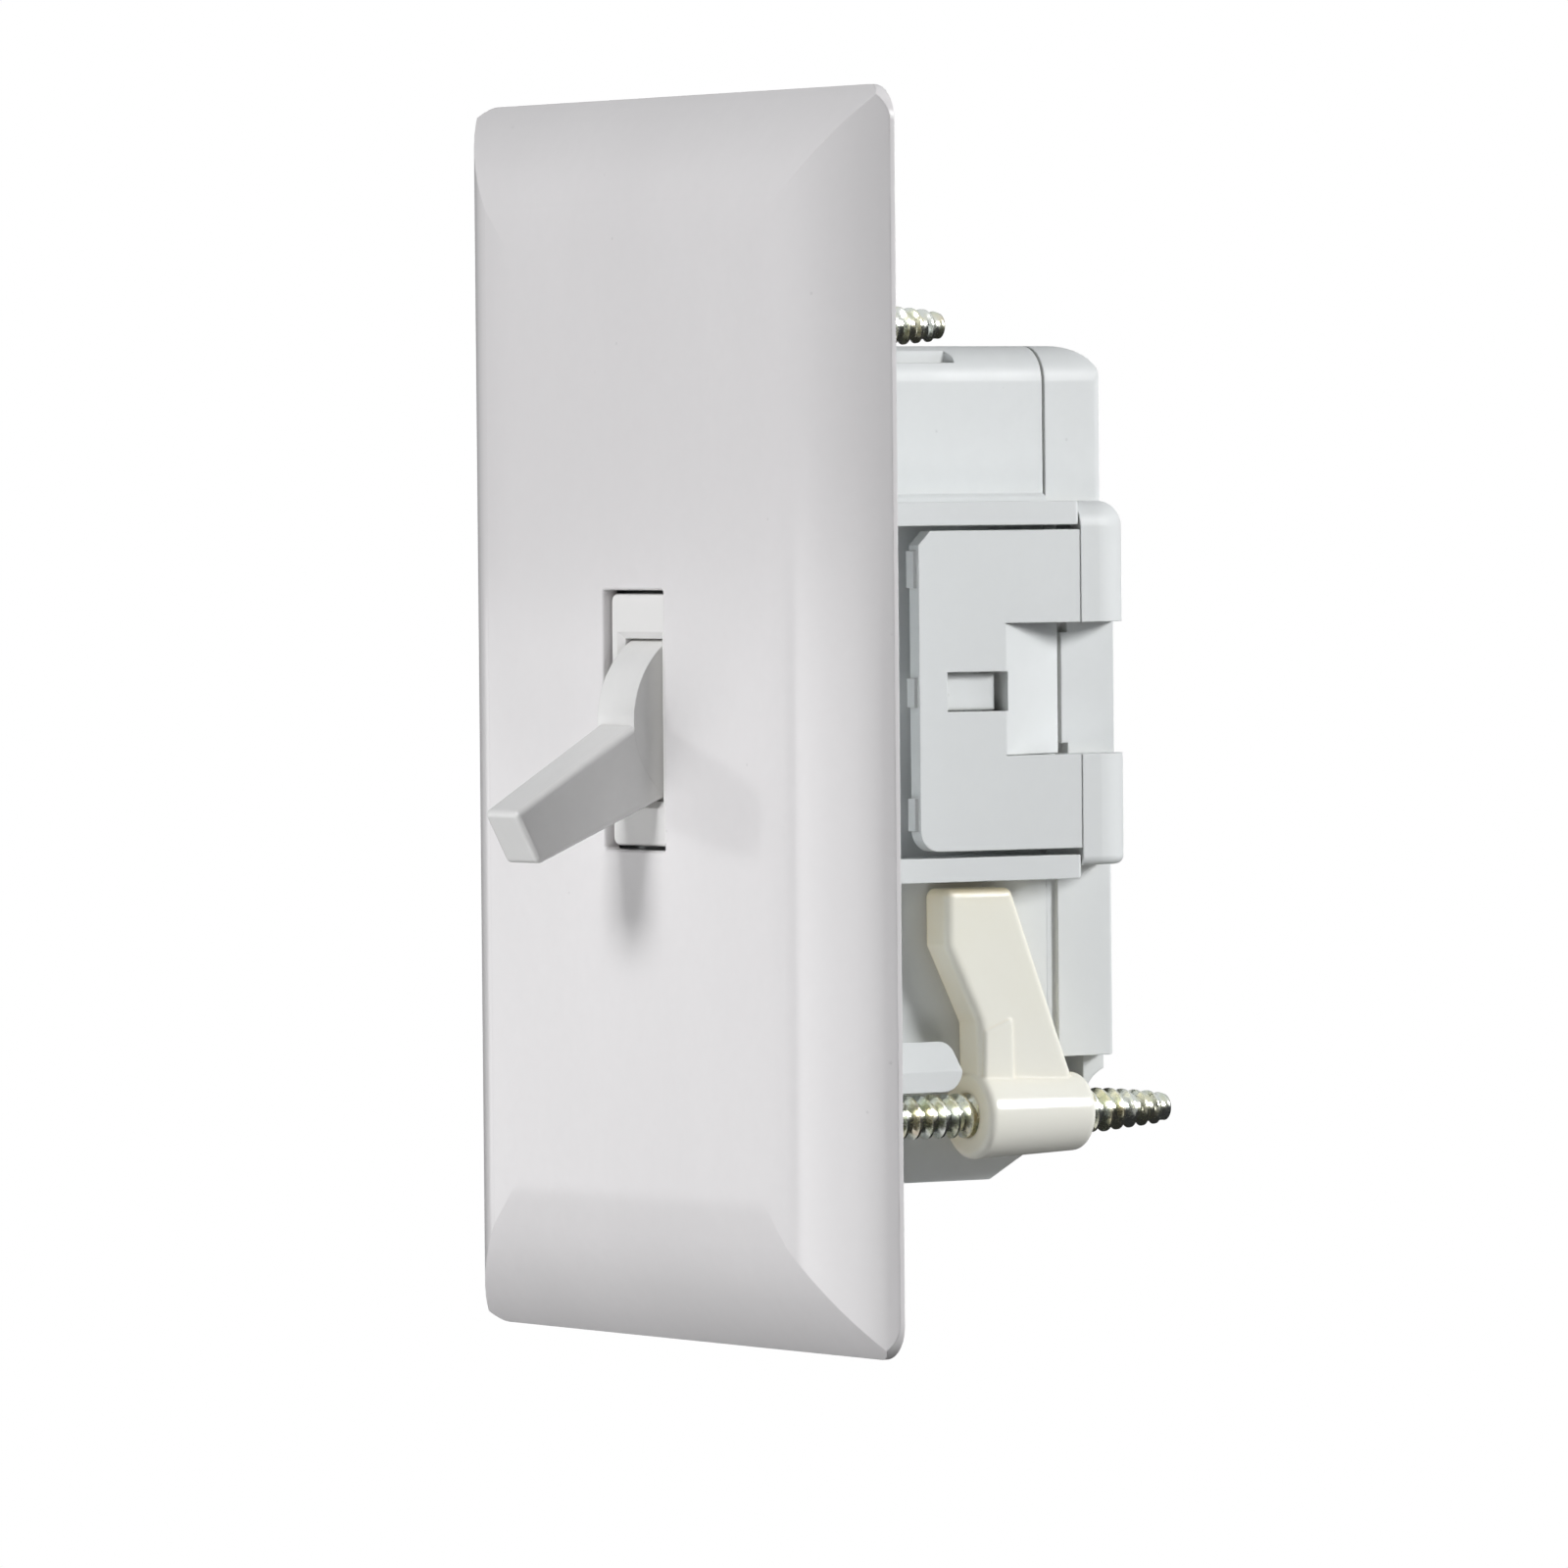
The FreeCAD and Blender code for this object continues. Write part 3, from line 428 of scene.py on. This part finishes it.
def plated_zinc(name):
    """Yellow chromate over zinc: straw to olive, with rosy patches, and dark painted shade in the
    thread's root.
    """
    finish = Finish(name)
    patch = finish.noise(2.4, 3.0, 0.6)
    base = finish.blend(finish.spread(patch, 0.35, 0.6), (0.68, 0.74, 0.56), (0.90, 0.87, 0.66))
    rosy = finish.spread(finish.noise(3.3, 2.0), 0.55, 0.7, 0.0, 0.45)
    base = finish.blend(rosy, base, (0.88, 0.70, 0.58))
    silver = finish.spread(finish.noise(1.7, 2.0), 0.42, 0.6, 0.0, 0.8)
    base = finish.blend(silver, base, (0.86, 0.90, 0.88))
    # Painted shade: an ambient-occlusion mask darkens the thread's root.
    root_shade = finish.spread(finish.crevice(0.7), 0.3, 0.85, 0.35, 0.0)
    base = finish.blend(root_shade, base, (0.20, 0.20, 0.13))
    edges = finish.edge_mask(0.16)
    base = finish.blend(finish.math("MULTIPLY", edges, 0.5), base, (0.93, 0.92, 0.86))
    finish.feed("Base Color", base)
    finish.feed("Roughness", finish.spread(finish.noise(0.8, 4.0), 0.3, 0.7, 0.14, 0.34))
    finish.feed("Normal", finish.bump(finish.noise(0.35, 3.0), 0.012, 0.8))
    finish.set(Metallic=1.0)
    return finish


def worked_metal(name, light, dark, gloss, grain):
    """Drawn or stamped metal: fine directional grain, tarnish in patches, bright edges."""
    finish = Finish(name)
    tarnish = finish.noise(2.8, 4.0, 0.65)
    base = finish.blend(finish.spread(tarnish, 0.38, 0.66), light, dark)
    edges = finish.edge_mask(0.12)
    base = finish.blend(finish.math("MULTIPLY", edges, 0.6), base, tint(light, 1.25))
    finish.feed("Base Color", base)
    streak = finish.noise(0.5, 3.0, 0.6, grain)
    finish.feed("Roughness", finish.spread(streak, 0.3, 0.7, gloss * 0.75, gloss * 1.3))
    finish.feed("Normal", finish.bump(streak, 0.006, 0.8, finish.soft_edges(0.08)))
    finish.set(Metallic=1.0)
    return finish


def pressed_fibre(name):
    """Vulcanised fibre: red brown, matt, with short felted hairs."""
    finish = Finish(name)
    hairs = finish.noise(0.35, 5.0, 0.7, (1.0, 0.3, 0.3))
    base = finish.blend(finish.spread(hairs, 0.35, 0.65), (0.24, 0.085, 0.05), (0.42, 0.18, 0.11))
    finish.feed("Base Color", base)
    finish.feed("Roughness", finish.spread(hairs, 0.3, 0.7, 0.7, 0.95))
    finish.feed("Normal", finish.bump(hairs, 0.05, 0.8))
    return finish


def make_finishes():
    """Every slot's material, by the record's slot name."""
    return {
        "plate_white": soften_crease(
            moulded_plastic("plate_white", (0.79, 0.775, 0.785), 0.17, 0.010, 0.25)),
        "housing_white": moulded_plastic(
            "housing_white", (0.76, 0.785, 0.79), 0.46, 0.02, 0.45, face=(0.80, 0.795, 0.79)),
        "toggle_white": moulded_plastic("toggle_white", (0.84, 0.84, 0.835), 0.17, 0.008, 0.35),
        "dark_phenolic": moulded_plastic("dark_phenolic", (0.06, 0.055, 0.05), 0.42, 0.02, 0.3),
        "natural_nylon": nylon("natural_nylon"),
        "yellow_zinc": plated_zinc("yellow_zinc"),
        "bright_steel": worked_metal(
            "bright_steel", (0.70, 0.70, 0.71), (0.50, 0.50, 0.52), 0.26, (0.1, 1, 1)),
        "brass": worked_metal(
            "brass", (0.85, 0.65, 0.31), (0.60, 0.42, 0.19), 0.30, (1, 0.12, 1)),
        "silver": worked_metal(
            "silver", (0.88, 0.88, 0.86), (0.66, 0.65, 0.62), 0.22, (1, 0.5, 1)),
        "fibre": pressed_fibre("fibre"),
    }


# ---------------------------------------------------------------- threaded screws

# Millimetres; the depth y runs backwards from the wall plane.
SCREW_CREST_R = 2.05
SCREW_ROOT_R = 1.42
SCREW_PITCH = 1.41
SCREW_STEPS = 48
ROWS_PER_TURN = 12
# The thread's half width at its foot and the run of its flank, as shares of the pitch.
THREAD_HALF = 0.30
THREAD_FLANK = 0.22
THREAD_START = 0.8
THREAD_RUN_IN = 1.0
TAPER_START = 33.0
# How much thinner the root and the crest are at the tip.
TIP_ROOT_LOSS = 0.22
TIP_CREST_LOSS = 0.62
TIP_END = 40.0
# The thread would only fade out wholly past the tip, so the tip still shows some of it.
THREAD_END = 40.2
THREAD_RUN_OUT = 1.2
SHANK_R = 1.4
SHANK_START = THREAD_START - 2.9
SHANK_END = THREAD_START + 0.05
HEAD_R = 3.6
HEAD_RIM_R = 3.45
HEAD_RIM_H = 0.12
HEAD_UNDER = -2.05
HEAD_EDGE = -2.75
HEAD_TOP = -4.1
HEAD_CORNER = 1.5
HEAD_CORNER_STEPS = 6
WELD_DISTANCE = 1e-4
SLIVER_LENGTH = 1e-5
SMOOTH_ANGLE = 40


def share(value):
    """The value, kept between nought and one."""
    return max(0.0, min(1.0, value))


def thread_height(phase):
    """The thread's height over one pitch, nought to one: a narrow crest and a broad root."""
    away = abs(phase - 0.5)
    return share((THREAD_HALF - away) / THREAD_FLANK)


def screw_radius(y, phase):
    """The screw's radius at a depth y and a place within the pitch."""
    taper = max(0.0, (y - TAPER_START) / (TIP_END - TAPER_START))
    root = SCREW_ROOT_R - TIP_ROOT_LOSS * taper
    crest = SCREW_CREST_R - TIP_CREST_LOSS * taper
    fade_in = share((y - THREAD_START) / THREAD_RUN_IN)
    fade_out = share((THREAD_END - y) / THREAD_RUN_OUT)
    return root + (crest - root) * thread_height(phase) * fade_in * fade_out


def lathe(bm, rows, steps):
    """Closed rings of revolution about Y from (radius, y) rows; a radius of nought is one point."""
    rings = []
    for radius, y in rows:
        if radius == 0:
            rings.append([bm.verts.new((0, y, 0))] * steps)
            continue
        ring = []
        for i in range(steps):
            angle = 2 * math.pi * i / steps
            ring.append(bm.verts.new((radius * math.cos(angle), y, radius * math.sin(angle))))
        rings.append(ring)
    for first, second in zip(rings, rings[1:]):
        for i in range(steps):
            corners = []
            for vert in (first[i], first[(i + 1) % steps], second[(i + 1) % steps], second[i]):
                if vert not in corners:
                    corners.append(vert)
            bm.faces.new(corners)


def thread_surface(bm):
    """A right-hand thread whose rows follow the helix, from the head to the tip."""
    turns = int((TIP_END - THREAD_START) / SCREW_PITCH) + 2
    step = SCREW_PITCH / ROWS_PER_TURN
    rows = turns * ROWS_PER_TURN
    grid = []
    for i in range(SCREW_STEPS):
        angle = 2 * math.pi * i / SCREW_STEPS
        column = []
        for j in range(-ROWS_PER_TURN, rows):
            climbed = THREAD_START + j * step + SCREW_PITCH * i / SCREW_STEPS
            y = max(THREAD_START, min(TIP_END, climbed))
            radius = screw_radius(y, (j % ROWS_PER_TURN) / ROWS_PER_TURN)
            column.append(bm.verts.new((radius * math.sin(angle), y, radius * math.cos(angle))))
        grid.append(column)
    for i in range(SCREW_STEPS):
        here = grid[i]
        beside = grid[(i + 1) % SCREW_STEPS]
        # Once round, the helix has climbed a turn, so the last column joins the first a turn up.
        shift = ROWS_PER_TURN if i == SCREW_STEPS - 1 else 0
        for j in range(len(here) - 1 - ROWS_PER_TURN):
            bm.faces.new((here[j], here[j + 1], beside[j + 1 + shift], beside[j + shift]))
    loose = [v for v in bm.verts if not v.link_faces]
    bmesh.ops.delete(bm, geom=loose, context="VERTS")
    bmesh.ops.remove_doubles(bm, verts=bm.verts[:], dist=WELD_DISTANCE)
    bmesh.ops.dissolve_degenerate(bm, edges=bm.edges[:], dist=SLIVER_LENGTH)
    rim = [e for e in bm.edges if e.is_boundary]
    bmesh.ops.holes_fill(bm, edges=rim, sides=0)


def head_rows():
    """The pan head's outline from under it to the middle of its top, as (radius, y)."""
    rows = [(0.0, HEAD_UNDER), (SHANK_R, HEAD_UNDER), (HEAD_RIM_R, HEAD_UNDER),
            (HEAD_R, HEAD_UNDER - HEAD_RIM_H), (HEAD_R, HEAD_EDGE)]
    for k in range(1, HEAD_CORNER_STEPS + 1):
        angle = math.radians(90 * k / HEAD_CORNER_STEPS)
        radius = HEAD_R - HEAD_CORNER * (1 - math.cos(angle))
        rows.append((radius, HEAD_EDGE + (HEAD_TOP - HEAD_EDGE) * math.sin(angle)))
    rows.append((0.0, HEAD_TOP))
    return rows


def new_object(name, bm):
    """A mesh object in metres from a bmesh in millimetres."""
    bmesh.ops.scale(bm, vec=(MM, MM, MM), verts=bm.verts[:])
    bmesh.ops.recalc_face_normals(bm, faces=bm.faces[:])
    mesh = bpy.data.meshes.new(name)
    bm.to_mesh(mesh)
    bm.free()
    obj = bpy.data.objects.new(name, mesh)
    bpy.context.scene.collection.objects.link(obj)
    return obj


def shade_smooth(obj, angle):
    """Smooth shading that keeps edges sharper than the angle in degrees."""
    obj.data.shade_smooth()
    bpy.context.view_layer.objects.active = obj
    obj.select_set(True)
    bpy.ops.object.shade_smooth_by_angle(angle=math.radians(angle))
    obj.select_set(False)


def add_screw(side, finish):
    """One mounting screw with its helical thread, in place of the plain CAD screw."""
    node = side + "_mounting_screw"
    low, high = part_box(node)
    bm = bmesh.new()
    thread_surface(bm)
    shank_rows = [(0.0, SHANK_START), (SHANK_R, SHANK_START),
                  (SHANK_R, SHANK_END), (0.0, SHANK_END)]
    lathe(bm, shank_rows, SCREW_STEPS)
    lathe(bm, head_rows(), SCREW_STEPS)
    screw = new_object(side + "_threaded_screw", bm)
    middle = (low + high) / 2
    screw.data.transform(Matrix.Translation((middle.x, 0, middle.z)))
    shade_smooth(screw, SMOOTH_ANGLE)
    screw.data.materials.append(finish.mat)
    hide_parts(node)
    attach(screw, side + "_screw")


# ---------------------------------------------------------------- CAD nodes

def dress_nodes(finishes):
    """Give every CAD node its slot's finish."""
    for entry in frame["record"]["subparts"]:
        obj = frame["nodes"][entry["node"]]
        obj.data.materials.clear()
        obj.data.materials.append(finishes[entry["material_slot"]].mat)


add_camera()
add_world()
add_floor()
add_lights()
finishes = make_finishes()
dress_nodes(finishes)
for side in ("lower", "upper"):
    add_screw(side, finishes["yellow_zinc"])
bpy.context.scene.view_settings.view_transform = "Standard"
